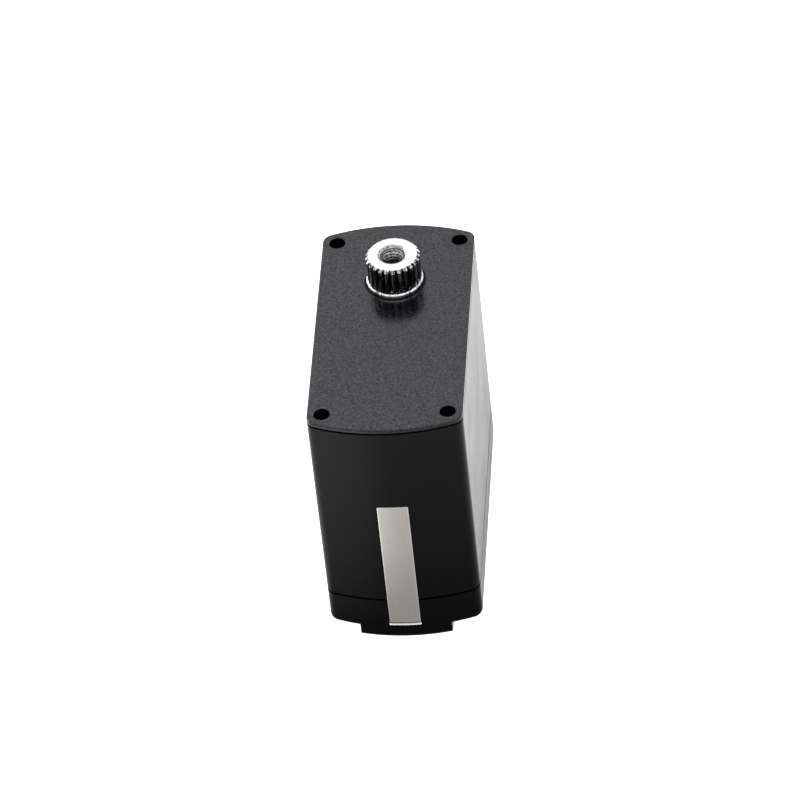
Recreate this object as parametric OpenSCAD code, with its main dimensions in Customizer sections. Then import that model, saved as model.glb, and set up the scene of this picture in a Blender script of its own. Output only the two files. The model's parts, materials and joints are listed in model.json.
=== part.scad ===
// Standard-size servo motor without mounting ears: metal case, splined output shaft,
// spur gear train, iron-core motor and magnetic position encoder.
// Origin at the middle of the underside, +Z up along the output shaft, output shaft towards +Y.

/* [Case] */
// Width of the case across its straight sides
case_w = 20; // [19.8:0.1:20.4]
// Length of the case over the curved ends
case_l = 40; // [39.8:0.1:41]
// Height of the case from the underside to the top face
case_h = 36.9; // [36.8:0.1:37.2]
// Plan radius of the two curved ends
end_r = 26; // [25:0.5:30]
// Plan radius of the four upright edges
edge_r = 1.5; // [1.2:0.1:1.8]
// Wall thickness of the case
wall = 1.2; // [1.1:0.05:1.3]
// Height of the seam between the middle case and the bottom cover
seam_z = 7.1; // [6.9:0.05:7.1]
// Height of the rim of the top cover that shows above its seam
rim_h = 0.6; // [0.5:0.05:0.7]
// Depth by which the corners of the underside are set back from the middle band
corner_step = 1.6; // [1.5:0.1:1.8]
// Width of the middle band of the underside
band_w = 12; // [11.5:0.1:12.5]

/* [Corner screws] */
// Distance between the corner holes across the case
hole_span_x = 16.1; // [16:0.05:16.2]
// Distance between the corner holes along the case
hole_span_y = 33.3; // [33.2:0.05:33.4]
// Radius of the threaded corner holes in the top cover
hole_r = 1.05; // [1.03:0.01:1.07]

/* [Output shaft] */
// Distance of the output shaft from the middle of the case
out_y = 8.85; // [8.8:0.05:8.9]
// Number of teeth on the output spline
spline_teeth = 25; // [24:1:26]
// Radius over the spline teeth
spline_r = 3.55; // [3.5:0.01:3.6]
// Radius of the collar under the spline
collar_r = 3.75; // [3.7:0.01:3.8]
// Height of the spline face above the top face
spline_h = 4.5; // [4.3:0.1:4.7]
// Radius of the threaded hole in the spline
horn_hole_r = 1.5; // [1.4:0.05:1.5]

/* [End strip] */
// Width of the light strip let into the end of the case
strip_w = 4.3; // [4:0.1:4.5]
// Depth from the top face to the upper end of the strip
strip_top_drop = 13.4; // [13:0.1:14]
// Height of the lower end of the strip above the underside
strip_low_z = 2.2; // [2:0.1:2.4]

/* [Hidden] */
$fn = 64;

// Outline of the case
arc_back = end_r - case_l / 2;
end_steps = 20;
corner_steps = 6;

// Levels
top_z = case_h;
rim_z = top_z - rim_h;
cover_under_z = top_z - 2.4;
deck_top_z = 23.4;
deck_under_z = 21;
gasket_t = 0.25;
gasket_inset = 0.35;
edge_break = 0.15;
foot_r = 0.9;
spigot_fit = 0.1;
eps = 0.01;

// Gear train: tooth counts, tooth sizes and face heights
pinion_teeth = 10;
first_teeth = 32;
first_small_teeth = 12;
second_teeth = 30;
second_small_teeth = 14;
third_teeth = 28;
third_small_teeth = 12;
output_teeth = 31;
fine_module = 0.4;
coarse_module = 0.5;
backlash = 0.06;
first_z = [23.8, 25.2];
second_z = [25.5, 27.1];
third_z = [27.4, 29.2];
output_z = [29.8, 32.7];

// Axes of the gear train in plan
motor_y = out_y - 18.95;
first_reach = fine_module * (pinion_teeth + first_teeth) / 2;
output_reach = coarse_module * (third_small_teeth + output_teeth) / 2;
axis_gap = out_y - motor_y;
centre_dy = (pow(first_reach, 2) - pow(output_reach, 2) + pow(axis_gap, 2)) / (2 * axis_gap);
centre_axis = [sqrt(pow(first_reach, 2) - pow(centre_dy, 2)), motor_y + centre_dy];
second_reach = fine_module * (first_small_teeth + second_teeth) / 2;
side_x = -1.8;
side_dy = sqrt(pow(second_reach, 2) - pow(centre_axis[0] - side_x, 2));
side_axis = [side_x, centre_axis[1] - side_dy];
pin_r = 0.75;
pin_fit = 0.04;
pin_top_z = 35.2;
hub_r = 1.6;

// Travel stop of the output gear: half angles of the fixed wall and of the moving lug
stop_wall_half = 65;
stop_wall = [3.8, 5, 5.2];
lug_half = 20;
lug_r = 4.45;
lug_hub_r = 3.5;
lug_z = 27.8;

// Bearings on the output shaft: inner radius, outer radius, low z and high z
upper_race = [3, 5, 33.6, 36.1];
lower_race = [2.5, 4, 21.4, 23.4];
upper_balls = 12;
lower_balls = 10;
ball_fit = 0.04;
race_fit = 0.02;
cage_half = [0.12, 0.2];

// Motor
can_r = 8;
can_wall = 0.8;
can_z = [7.4, 20.9];
rotor_r = 5.4;
shaft_r = 0.75;
core_z = 10;
core_h = 7.8;
arm_w = 1.2;
shoe_t = 0.9;
coil = [2, 3, 0.8];
coil_r = 2.15;
magnet_t = 1.4;
magnet_span_z = [9.6, 18.2];
commutator_r = 1.65;
bushing_r = 1.48;
brush = [1.7, 5.25, 0.8, 0.5];
terminal_x = 5.5;
motor_screw_x = 5;

// Boards and connector
board_z = 3.15;
board_t = 1;
socket_size = [8.2, 4.6, 3.4];
socket_z = 2.3;
socket_y = 17.05;
cavity_size = [6.6, 3.4, 2.2];
cavity_y = 18.2;
pin_w = 0.5;
pin_y = 15;
pin_row_z = board_z + board_t + 0.05;
pin_x = [-2, 0, 2];
sensor_board_z = 15.9;
post_x = 6;
post_y = 12.4;
magnet_z = 18.6;

// Shaft seal: radius of the shaft inside it, of the opening round it, and its fit on the shaft
seal_shaft_r = 3.5;
seal_opening_r = 3.95;
seal_fit = 0.1;
collar_gap = 0.05;

// Corner screws: their threads in the top cover end below the corner holes
screw_r = 0.8;
tap_r = 0.86;
tap_top_z = 35.3;
screw_tip_z = 35.2;
head_r = 1.5;
head_h = 1.2;
head_z = corner_step + 1.5;
channel_r = 0.89;
column_r = 1.85;
cover_boss_r = 1.5;
boss_fit = 0.05;
boss_low_z = cover_under_z - 0.6;

function arc_points(centre, radius, from, to, steps) =
  [for (i = [0:steps]) let (a = from + (to - from) * i / steps)
    [centre[0] + radius * cos(a), centre[1] + radius * sin(a)]];

// Closed plan outline, moved inwards by inset: two curved ends, straight sides, round corners.
function case_outline(inset) =
  let (r = end_r - inset,
       c = max(edge_r - inset, 0.4),
       cx = case_w / 2 - inset - c,
       cy = sqrt(pow(r - c, 2) - pow(cx, 2)) - arc_back,
       a = atan2(cy + arc_back, cx))
  concat(
    arc_points([cx, cy], c, 0, a, corner_steps),
    arc_points([0, -arc_back], r, a + 1, 179 - a, end_steps),
    arc_points([-cx, cy], c, 180 - a, 180, corner_steps),
    arc_points([-cx, -cy], c, 180, 180 + a, corner_steps),
    arc_points([0, arc_back], r, 181 + a, 359 - a, end_steps),
    arc_points([cx, -cy], c, 360 - a, 360, corner_steps));

module case_block(inset, z0, z1) {
  translate([0, 0, z0]) linear_extrude(z1 - z0) polygon(case_outline(inset));
}

module at_corners() {
  for (x = [-1, 1], y = [-1, 1])
    translate([x * hole_span_x / 2, y * hole_span_y / 2, 0]) children();
}

module rod(r, z0, z1) {
  translate([0, 0, z0]) cylinder(r = r, h = z1 - z0);
}

module ring(inner, outer, z0, z1) {
  difference() {
    rod(outer, z0, z1);
    rod(inner, z0 - eps, z1 + eps);
  }
}

module at_pair(x, y) {
  for (side = [-1, 1]) translate([side * x, y, 0]) children();
}

module box(size, x, y, z0) {
  translate([x - size[0] / 2, y - size[1] / 2, z0]) cube(size);
}

// Spur gear outline. Flanks narrow evenly from root to tip about the pitch circle.
function tooth(centre, m, teeth, play) =
  let (p = m * teeth / 2,
       half = 90 / teeth - play * 90 / (PI * p),
       rs = [p - 1.15 * m, p - 0.5 * m, p, p + 0.5 * m, p + 0.95 * m],
       ws = [1.42, 1.24, 1, 0.72, 0.42])
  concat(
    [for (i = [0:4]) [rs[i] * cos(centre - half * ws[i]), rs[i] * sin(centre - half * ws[i])]],
    [for (i = [4:-1:0]) [rs[i] * cos(centre + half * ws[i]), rs[i] * sin(centre + half * ws[i])]]);

function gear_outline(m, teeth, turn) =
  [for (k = [0:teeth - 1]) each tooth(turn + 360 * k / teeth, m, teeth, backlash)];

module gear(m, teeth, turn, bore, z) {
  difference() {
    translate([0, 0, z[0]]) linear_extrude(z[1] - z[0]) polygon(gear_outline(m, teeth, turn));
    rod(bore, z[0] - eps, z[1] + eps);
  }
}

// Direction from one axis to another, and the turn that puts a gap of the driven
// gear where a tooth of the driver points.
function heading(a, b) = atan2(b[1] - a[1], b[0] - a[0]);
function gap_turn(direction, teeth) = direction + 180 + 180 / teeth;

motor_axis = [0, motor_y];
out_axis = [0, out_y];
pinion_turn = heading(motor_axis, centre_axis);
first_turn = gap_turn(pinion_turn, first_teeth);
first_small_turn = heading(centre_axis, side_axis);
second_turn = gap_turn(first_small_turn, second_teeth);
second_small_turn = heading(side_axis, centre_axis);
third_turn = gap_turn(second_small_turn, third_teeth);
third_small_turn = heading(centre_axis, out_axis);
output_turn = gap_turn(third_small_turn, output_teeth);

// ---- Case ----

module top_cover() {
  color([0.32, 0.32, 0.33])
  difference() {
    union() {
      case_block(0, rim_z, top_z - edge_break);
      case_block(edge_break, top_z - edge_break - eps, top_z);
      case_block(wall + spigot_fit, cover_under_z, rim_z + eps);
      translate(out_axis) rod(upper_race[1] + 1, upper_race[2], cover_under_z + eps);
      at_corners() rod(cover_boss_r, boss_low_z, rim_z + eps);
      translate(side_axis) rod(hub_r, third_z[1] + 1, cover_under_z + eps);
    }
    at_corners() rod(hole_r, tap_top_z - eps, top_z + eps);
    at_corners() rod(tap_r, boss_low_z - 1, tap_top_z);
    at_corners() translate([0, 0, top_z - edge_break])
      cylinder(r1 = hole_r, r2 = hole_r + edge_break + eps, h = edge_break + eps);
    translate(out_axis) rod(upper_race[1], upper_race[2] - 1, upper_race[3]);
    translate(out_axis) rod(seal_opening_r, upper_race[3] - eps, top_z + eps);
    translate(side_axis) rod(pin_r, 29, pin_top_z);
    translate(centre_axis) rod(pin_r, boss_low_z - 1, pin_top_z);
  }
}

module top_gasket() {
  color([0.05, 0.05, 0.05])
  difference() {
    case_block(gasket_inset, rim_z - gasket_t, rim_z);
    case_block(wall + spigot_fit, rim_z - 1, rim_z + 1);
    at_corners() rod(cover_boss_r + boss_fit, rim_z - 1, rim_z + 1);
  }
}

module middle_case() {
  shell_top_z = rim_z - gasket_t;
  color([0.1, 0.1, 0.105])
  difference() {
    union() {
      difference() {
        case_block(0, seam_z, shell_top_z);
        case_block(wall, seam_z - eps, deck_under_z);
        case_block(wall, deck_top_z, rim_z);
      }
      at_corners() rod(column_r, seam_z, boss_low_z - boss_fit);
      stop_wall();
      translate(centre_axis) rod(1.4, deck_top_z - eps, first_z[0] - 0.15);
    }
    at_corners() rod(channel_r, seam_z - eps, top_z);
    at_corners() rod(cover_boss_r + boss_fit, boss_low_z - boss_fit, top_z);
    translate(out_axis) rod(lower_race[1], lower_race[2], deck_top_z + eps);
    translate(out_axis) rod(lower_race[1] - 0.6, deck_under_z - eps, deck_top_z);
    translate(motor_axis) rod(2.6, deck_under_z - eps, deck_top_z + eps);
    translate(centre_axis) rod(pin_r, deck_under_z + 0.6, top_z);
    at_pair(motor_screw_x, motor_y) {
      rod(0.9, deck_under_z - eps, deck_top_z + eps);
      rod(1.6, deck_top_z - 1.1, deck_top_z + eps);
    }
    at_pair(post_x, post_y) rod(0.8, deck_under_z - eps, deck_top_z - 0.8);
    strip_recess();
  }
}

// Fixed arc that the lug of the output gear meets at the ends of its travel.
module stop_wall() {
  translate([out_axis[0], out_axis[1], deck_top_z - eps]) rotate([0, 0, 90 - stop_wall_half])
    rotate_extrude(angle = 2 * stop_wall_half)
      translate([stop_wall[0], 0]) square([stop_wall[1] - stop_wall[0], stop_wall[2]]);
}

module bottom_gasket() {
  color([0.05, 0.05, 0.05])
  difference() {
    case_block(gasket_inset, seam_z - gasket_t, seam_z);
    case_block(wall, seam_z - 1, seam_z + 1);
    at_corners() rod(channel_r, seam_z - 1, seam_z + 1);
    strip_recess();
  }
}

module bottom_cover() {
  color([0.08, 0.08, 0.085])
  difference() {
    union() {
      hull() {
        case_block(0, corner_step + foot_r, seam_z - gasket_t);
        case_block(foot_r * 0.29, corner_step + foot_r * 0.29, seam_z - 1);
        case_block(foot_r, corner_step, seam_z - 2);
      }
      intersection() {
        hull() {
          case_block(0, foot_r, seam_z - gasket_t);
          case_block(foot_r * 0.29, foot_r * 0.29, 2);
          case_block(foot_r, 0, 1);
        }
        box([band_w, case_l, seam_z], 0, 0, 0);
      }
    }
    intersection() {
      case_block(wall, corner_step + wall, seam_z);
      union() {
        box([case_w, case_l - 11, seam_z], 0, 0, 0);
        box([band_w, case_l, seam_z], 0, 0, 0);
      }
    }
    box([band_w - 2 * wall, case_l - 8, seam_z], 0, 0, wall);
    at_corners() rod(channel_r, 0, seam_z);
    at_corners() rod(head_r + 0.1, -1, head_z + head_h);
    box([socket_size[0], 8, socket_size[2]], 0, case_l / 2 - 2, socket_z);
    strip_recess();
  }
}

// Shallow channel down the end of the case that the strip lies in.
module strip_recess() {
  recess_h = case_h - strip_top_drop - strip_low_z;
  intersection() {
    box([strip_w, 2, recess_h], 0, -case_l / 2, strip_low_z);
    difference() {
      case_block(-1, strip_low_z, strip_low_z + recess_h);
      case_block(0.5, 0, case_h);
    }
  }
}

module end_strip() {
  z1 = case_h - strip_top_drop - 0.05;
  z0 = strip_low_z + 0.05;
  color([0.7, 0.68, 0.65])
  intersection() {
    box([strip_w - 0.1, 2, z1 - z0], 0, -case_l / 2, z0);
    difference() {
      case_block(0.05, z0, z1);
      case_block(0.45, z0 - 1, z1 + 1);
    }
  }
}

// Four long socket-head screws, put in from below and threaded into the top cover.
module case_screws() {
  color([0.2, 0.2, 0.21])
  at_corners() difference() {
    union() {
      rod(screw_r, head_z, screw_tip_z);
      rod(head_r, head_z, head_z + head_h - 0.02);
    }
    translate([0, 0, head_z - 0.1]) cylinder(r = 0.85, h = 0.8, $fn = 6);
  }
}

module shaft_seal() {
  color([0.03, 0.03, 0.03])
  translate(out_axis)
    ring(seal_shaft_r + seal_fit, seal_opening_r - eps, top_z - 0.5, top_z - 0.2);
}

// ---- Gear pins and bearings ----

module gear_pin_centre() {
  color("silver") translate(centre_axis) rod(pin_r - 0.01, deck_under_z + 0.7, pin_top_z - 0.1);
}

module gear_pin_motor() {
  color("silver") translate(side_axis) rod(pin_r - 0.01, 25.6, pin_top_z - 0.1);
}

// Each race is a quarter of the bearing's radial section, and the balls run in grooves in both.
function race_mid(race) = (race[0] + race[1]) / 2;
function race_z(race) = (race[2] + race[3]) / 2;
function race_wall(race) = 0.25 * (race[1] - race[0]);
function ball_radius(race) = 0.3 * (race[1] - race[0]);

module ball_groove(race) {
  translate([0, 0, race_z(race)]) rotate_extrude()
    translate([race_mid(race), 0]) circle(ball_radius(race) + ball_fit);
}

module outer_race(race) {
  translate(out_axis) difference() {
    ring(race[1] - race_wall(race), race[1] - race_fit, race[2] + race_fit, race[3] - race_fit);
    ball_groove(race);
  }
}

module inner_race(race) {
  translate(out_axis) difference() {
    ring(race[0], race[0] + race_wall(race), race[2] + race_fit, race[3] - race_fit);
    ball_groove(race);
  }
}

// Balls held evenly apart by a thin cage ring.
module ball_set(race, count) {
  mid = race_mid(race);
  translate([out_axis[0], out_axis[1], race_z(race)]) {
    for (i = [0:count - 1]) rotate([0, 0, 360 * i / count])
      translate([mid, 0, 0]) sphere(ball_radius(race), $fn = 24);
    ring(mid - cage_half[0], mid + cage_half[0], -cage_half[1], cage_half[1]);
  }
}

module upper_bearing_outer() {
  color("silver") outer_race(upper_race);
}

module lower_bearing_outer() {
  color("silver") outer_race(lower_race);
}

module upper_bearing_inner() {
  color("silver") inner_race(upper_race);
}

module lower_bearing_inner() {
  color("silver") inner_race(lower_race);
}

module upper_bearing_balls() {
  color("gainsboro") ball_set(upper_race, upper_balls);
}

module lower_bearing_balls() {
  color("gainsboro") ball_set(lower_race, lower_balls);
}

// ---- Output shaft ----

// Each spline tooth has a flat tip and sloping flanks down to a narrow root land.
spline_depth = 0.42;
tooth_root_half = 83 / spline_teeth;
tooth_tip_half = 37 / spline_teeth;

function spline_outline() =
  [for (k = [0:spline_teeth - 1])
    let (a = 360 * k / spline_teeth)
    each [for (point = [[-tooth_root_half, spline_r - spline_depth], [-tooth_tip_half, spline_r],
                        [tooth_tip_half, spline_r], [tooth_root_half, spline_r - spline_depth]])
      [point[1] * cos(a + point[0]), point[1] * sin(a + point[0])]]];

module output_shaft() {
  collar_top = top_z + 0.7;
  tip_z = top_z + spline_h;
  color([0.85, 0.86, 0.88])
  translate(out_axis) difference() {
    union() {
      intersection() {
        translate([0, 0, collar_top - 0.1]) linear_extrude(tip_z - collar_top + 0.1)
          polygon(spline_outline());
        union() {
          rod(spline_r + 0.1, collar_top - 0.1, tip_z - 0.35);
          translate([0, 0, tip_z - 0.36]) cylinder(r1 = spline_r + 0.02, r2 = spline_r - 0.34, h = 0.36);
        }
      }
      rod(seal_shaft_r, upper_race[3] + 0.1, top_z + collar_gap + eps);
      rod(collar_r, top_z + collar_gap, collar_top - 0.12);
      translate([0, 0, collar_top - 0.13]) cylinder(r1 = collar_r, r2 = collar_r - 0.12, h = 0.13);
      rod(upper_race[0], lug_z - 0.2, upper_race[3] + 0.2);
      rod(lower_race[0], lower_race[2] - 0.8, output_z[1] - 2);
    }
    rod(horn_hole_r, tip_z - 6.5, tip_z + eps);
    translate([0, 0, tip_z - 0.45]) cylinder(r1 = horn_hole_r, r2 = horn_hole_r + 0.46, h = 0.46);
  }
}

// Gear with a hub below it and, on the hub, the lug that meets the stop wall.
module output_gear() {
  color([0.78, 0.68, 0.42])
  translate(out_axis) {
    gear(coarse_module, output_teeth, output_turn, upper_race[0], output_z);
    ring(upper_race[0], lug_hub_r, lug_z, output_z[0] + eps);
    translate([0, 0, lug_z]) rotate([0, 0, -90 - lug_half])
      rotate_extrude(angle = 2 * lug_half) translate([lug_hub_r - 0.1, 0])
        square([lug_r - lug_hub_r + 0.1, output_z[0] - lug_z + eps]);
  }
}

module magnet_holder() {
  color([0.5, 0.5, 0.52]) translate(out_axis) difference() {
    rod(2.9, magnet_z, lower_race[2] - 0.8);
    rod(2, magnet_z - 0.1, magnet_z + 1.3);
  }
}

module encoder_magnet() {
  color([0.35, 0.35, 0.37]) translate(out_axis) rod(1.98, magnet_z + 0.02, magnet_z + 1.28);
}

// ---- Gear train ----

module first_gear_wheel() {
  color([0.76, 0.66, 0.4])
  translate(centre_axis) gear(fine_module, first_teeth, first_turn, hub_r, first_z);
}

module first_gear_pinion() {
  color([0.7, 0.71, 0.73])
  translate(centre_axis) {
    gear(fine_module, first_small_teeth, first_small_turn, pin_r + pin_fit,
      [first_z[1], second_z[1] + 0.1]);
    ring(pin_r + pin_fit, hub_r - eps, first_z[0] - 0.05, first_z[1] + eps);
  }
}

module second_gear_wheel() {
  color([0.76, 0.66, 0.4])
  translate(side_axis) gear(fine_module, second_teeth, second_turn, hub_r, second_z);
}

module second_gear_pinion() {
  color([0.7, 0.71, 0.73])
  translate(side_axis) {
    gear(fine_module, second_small_teeth, second_small_turn, pin_r + pin_fit,
      [second_z[1], third_z[1] + 0.1]);
    ring(pin_r + pin_fit, hub_r - eps, second_z[0] + 0.2, second_z[1] + eps);
  }
}

module third_gear_wheel() {
  color([0.76, 0.66, 0.4])
  translate(centre_axis) gear(fine_module, third_teeth, third_turn, hub_r, third_z);
}

module third_gear_pinion() {
  color([0.7, 0.71, 0.73])
  translate(centre_axis) {
    gear(coarse_module, third_small_teeth, third_small_turn, pin_r + pin_fit,
      [third_z[1], output_z[1]]);
    ring(pin_r + pin_fit, hub_r - eps, third_z[0], third_z[1] + eps);
  }
}

// ---- Motor ----

module motor_can() {
  color([0.6, 0.61, 0.62])
  difference() {
    translate(motor_axis) difference() {
      rod(can_r, can_z[0], can_z[1]);
      rod(can_r - can_wall, can_z[0] - eps, can_z[1] - can_wall);
      rod(1.5, can_z[1] - 2, can_z[1] + eps);
    }
    at_pair(motor_screw_x, motor_y) rod(0.8, can_z[1] - 2, can_z[1] + eps);
  }
}

module motor_magnets() {
  color([0.25, 0.25, 0.27])
  translate([motor_axis[0], motor_axis[1], magnet_span_z[0]])
    for (side = [0, 180]) rotate([0, 0, side - 65])
      rotate_extrude(angle = 130) translate([rotor_r + 0.3, 0])
        square([magnet_t, magnet_span_z[1] - magnet_span_z[0]]);
}

module motor_end_cap() {
  color([0.12, 0.12, 0.12])
  translate(motor_axis) difference() {
    union() {
      rod(can_r - can_wall - 0.03, can_z[0] - 0.6, can_z[0] + 0.8);
      rod(2.4, can_z[0] - 0.95, can_z[0] + 0.8);
    }
    rod(1.5, can_z[0] - 2, can_z[0] + 1);
    for (x = [-1, 1]) box([0.9, 1.7, 4], x * terminal_x, 0, can_z[0] - 2);
  }
}

module motor_bushings() {
  color([0.72, 0.58, 0.35])
  translate(motor_axis) {
    ring(shaft_r + pin_fit, bushing_r, can_z[0] - 0.9, can_z[0] + 0.8);
    ring(shaft_r + pin_fit, bushing_r, can_z[1] - 1.6, can_z[1]);
  }
}

module motor_brushes() {
  color([0.3, 0.24, 0.2])
  translate(motor_axis) for (x = [-1, 1])
    box([brush[1] - brush[0], brush[2], brush[3]], x * (brush[0] + brush[1]) / 2, 0, can_z[0] + 0.85);
}

module motor_terminals() {
  color([0.8, 0.6, 0.35])
  translate(motor_axis) for (x = [-1, 1])
    box([0.5, 1.4, can_z[0] - board_z - board_t + 0.7], x * terminal_x, 0, board_z + board_t + 0.25);
}

module motor_screws() {
  color([0.3, 0.3, 0.31])
  at_pair(motor_screw_x, motor_y) {
    rod(0.76, can_z[1] - 1.5, deck_top_z - 1);
    rod(1.5, deck_top_z - 1.08, deck_top_z - 0.15);
  }
}

module motor_shaft() {
  color("silver") translate(motor_axis) rod(shaft_r, can_z[0] - 0.8, first_z[1] + 0.1);
}

// Three-pole laminated core: a hub, three arms and three pole shoes.
module motor_core() {
  color([0.42, 0.42, 0.44])
  translate([motor_axis[0], motor_axis[1], core_z]) linear_extrude(core_h) difference() {
    union() {
      circle(2);
      for (a = [90, 210, 330]) rotate([0, 0, a]) {
        translate([0, -arm_w / 2]) square([rotor_r - 0.5, arm_w]);
        intersection() {
          difference() {
            circle(rotor_r);
            circle(rotor_r - shoe_t);
          }
          polygon([[0, 0], [rotor_r * 1.5, -rotor_r * 1.5], [rotor_r * 1.5, rotor_r * 1.5]]);
        }
      }
    }
    circle(shaft_r);
  }
}

// One coil of wire round each arm of the core.
module motor_windings() {
  color([0.75, 0.38, 0.16])
  translate([motor_axis[0], motor_axis[1], core_z]) for (a = [90, 210, 330]) rotate([0, 0, a])
    difference() {
      translate([coil_r, -coil[1] / 2, -coil[2]]) cube([coil[0], coil[1], core_h + 2 * coil[2]]);
      translate([2, -arm_w / 2 - 0.05, -0.05]) cube([3, arm_w + 0.1, core_h + 0.1]);
    }
}

module commutator() {
  color([0.78, 0.5, 0.3]) translate(motor_axis) ring(shaft_r, commutator_r, can_z[0] + 0.95, core_z - 1);
}

module motor_pinion() {
  color([0.78, 0.68, 0.42]) translate(motor_axis)
    gear(fine_module, pinion_teeth, pinion_turn, shaft_r, [first_z[0] - 0.5, first_z[1]]);
}

// ---- Electronics ----

module main_board() {
  color([0.08, 0.25, 0.14])
  box([14.6, 27, board_t], 0, 0, board_z);
}

module board_chips() {
  z = board_z + board_t;
  color([0.07, 0.07, 0.07]) {
    box([5, 5, 0.9], 0, 8.5, z);
    at_pair(4.4, 1.6) box([2.6, 4.2, 0.8], 0, 0, z);
    box([2.4, 2.4, 0.8], 4.6, 10.4, z);
    box([1.6, 2.8, 0.7], -4.6, 11, z);
  }
}

module capacitor() {
  color([0.2, 0.22, 0.3]) translate([-4.8, 6.6, 0]) rod(1.9, board_z + board_t, 13);
}

// Socket shell with a cavity open to the rear and a slot for each pin.
module connector_socket() {
  color([0.85, 0.83, 0.76])
  difference() {
    box([socket_size[0] - 0.1, socket_size[1], socket_size[2] - 0.1], 0, socket_y, socket_z + 0.05);
    box(cavity_size, 0, cavity_y, socket_z + 0.55);
    for (x = pin_x) box([pin_w + 0.1, 8, pin_w + 0.1], x, pin_y, pin_row_z - 0.05);
  }
}

module connector_pins() {
  color([0.85, 0.7, 0.35])
  for (x = pin_x) box([pin_w, 7, pin_w], x, pin_y, pin_row_z);
}

module encoder_board() {
  color([0.08, 0.25, 0.14])
  difference() {
    box([14.6, 9, 1], 0, out_y, sensor_board_z);
    at_pair(post_x, post_y) rod(0.6, sensor_board_z - 1, sensor_board_z + 2);
  }
}

module encoder_sensor() {
  color([0.07, 0.07, 0.07]) box([3.4, 3.4, 0.9], 0, out_y, sensor_board_z + 1);
}

// Two posts that hang the encoder board under the deck.
module encoder_posts() {
  color("silver") at_pair(post_x, post_y) {
    rod(1.1, sensor_board_z + 1.02, deck_under_z - 0.02);
    rod(0.56, sensor_board_z - 0.5, sensor_board_z + 1.1);
    rod(0.75, deck_under_z - 0.1, deck_top_z - 0.9);
  }
}

top_cover();
top_gasket();
middle_case();
bottom_gasket();
bottom_cover();
end_strip();
case_screws();
gear_pin_centre();
gear_pin_motor();
shaft_seal();
upper_bearing_outer();
lower_bearing_outer();
motor_can();
motor_magnets();
motor_end_cap();
motor_bushings();
motor_brushes();
motor_terminals();
motor_screws();
main_board();
board_chips();
capacitor();
connector_socket();
connector_pins();
encoder_board();
encoder_sensor();
encoder_posts();
output_shaft();
output_gear();
upper_bearing_inner();
lower_bearing_inner();
magnet_holder();
encoder_magnet();
upper_bearing_balls();
lower_bearing_balls();
first_gear_wheel();
first_gear_pinion();
second_gear_wheel();
second_gear_pinion();
third_gear_wheel();
third_gear_pinion();
motor_shaft();
motor_core();
motor_windings();
commutator();
motor_pinion();
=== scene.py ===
"""Looks of a metal-cased servo motor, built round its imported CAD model. Metres, in the model's own frame."""

import json
import math

import bmesh
import bpy
from mathutils import Matrix, Vector


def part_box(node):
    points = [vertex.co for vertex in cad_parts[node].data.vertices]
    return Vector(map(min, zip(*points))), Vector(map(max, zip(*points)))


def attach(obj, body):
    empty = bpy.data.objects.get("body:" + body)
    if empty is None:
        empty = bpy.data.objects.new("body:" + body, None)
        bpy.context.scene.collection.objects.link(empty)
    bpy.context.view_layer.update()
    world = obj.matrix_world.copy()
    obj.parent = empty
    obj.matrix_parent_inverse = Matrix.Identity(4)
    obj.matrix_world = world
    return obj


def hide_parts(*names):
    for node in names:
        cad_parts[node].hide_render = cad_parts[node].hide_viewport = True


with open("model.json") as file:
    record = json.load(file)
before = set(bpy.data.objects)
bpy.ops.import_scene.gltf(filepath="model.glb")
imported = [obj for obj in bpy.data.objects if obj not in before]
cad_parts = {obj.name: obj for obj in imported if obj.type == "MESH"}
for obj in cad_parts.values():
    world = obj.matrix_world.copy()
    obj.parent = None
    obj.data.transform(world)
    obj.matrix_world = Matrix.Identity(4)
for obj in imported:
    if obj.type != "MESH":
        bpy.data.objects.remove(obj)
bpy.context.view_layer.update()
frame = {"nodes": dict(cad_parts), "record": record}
nodes = frame["nodes"]
record = frame["record"]
mounts = {m["name"]: m for m in record["mounts"]}

MM = 0.001


# ---- Places and sizes, in millimetres, from the CAD model ----

def low(node):
    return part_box(node)[0] / MM


def high(node):
    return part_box(node)[1] / MM


def plan_middle(node):
    """Middle of a node in plan."""
    middle = (low(node) + high(node)) / 2
    return middle.x, middle.y


HALF_W = high("middle_case").x
HALF_L = high("middle_case").y
TOP_Z = high("top_cover").z
RIM_Z = high("top_gasket").z
SHELL_TOP_Z = high("middle_case").z
SEAM_Z = low("middle_case").z
COVER_TOP_Z = high("bottom_cover").z
SHAFT_Y = mounts["horn_screw_hole"]["pos_m"][1] / MM
TIP_Z = high("output_shaft").z
SHAFT_LOW_Z = low("output_shaft").z
COLLAR_R = mounts["horn_collar"]["dims"]["r_mm"]
HORN_HOLE_R = mounts["horn_screw_hole"]["dims"]["r_mm"]
HOLE_X = mounts["top_holes"]["dims"]["spacing_x_mm"] / 2
HOLE_Y = mounts["top_holes"]["dims"]["spacing_y_mm"] / 2
HOLE_R = mounts["top_holes"]["dims"]["hole_r_mm"]
HEAD_Z = low("case_screws").z
SCREW_TIP_Z = high("case_screws").z
SEAT_LOW_Z = low("upper_bearing_outer").z
SEAT_TOP_Z = high("upper_bearing_outer").z
PIN_TOP_Z = high("gear_pin_centre").z + 0.1

# Case: plan, walls, edges and the room inside.
END_R = 26.0
EDGE_R = 1.5
WALL = 1.2
CORNER_STEP = 1.6
FOOT_R = 0.9
BAND_HALF = 6.0
SOFT_EDGE = 0.08
PLAY = 0.05
COVER_UNDER_Z = TOP_Z - 2.4
BOSS_LOW_Z = COVER_UNDER_Z - 0.6
DECK_TOP_Z = 23.4
DECK_UNDER_Z = 21.0
COVER_BOSS_R = 1.5
PIN_BOSS_R, PIN_BOSS_LOW_Z = 1.6, 30.2
COLUMN_R = 1.85
POST_R, POST_TOP_Z = 1.4, 23.65
PIN_R = 0.75

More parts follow.
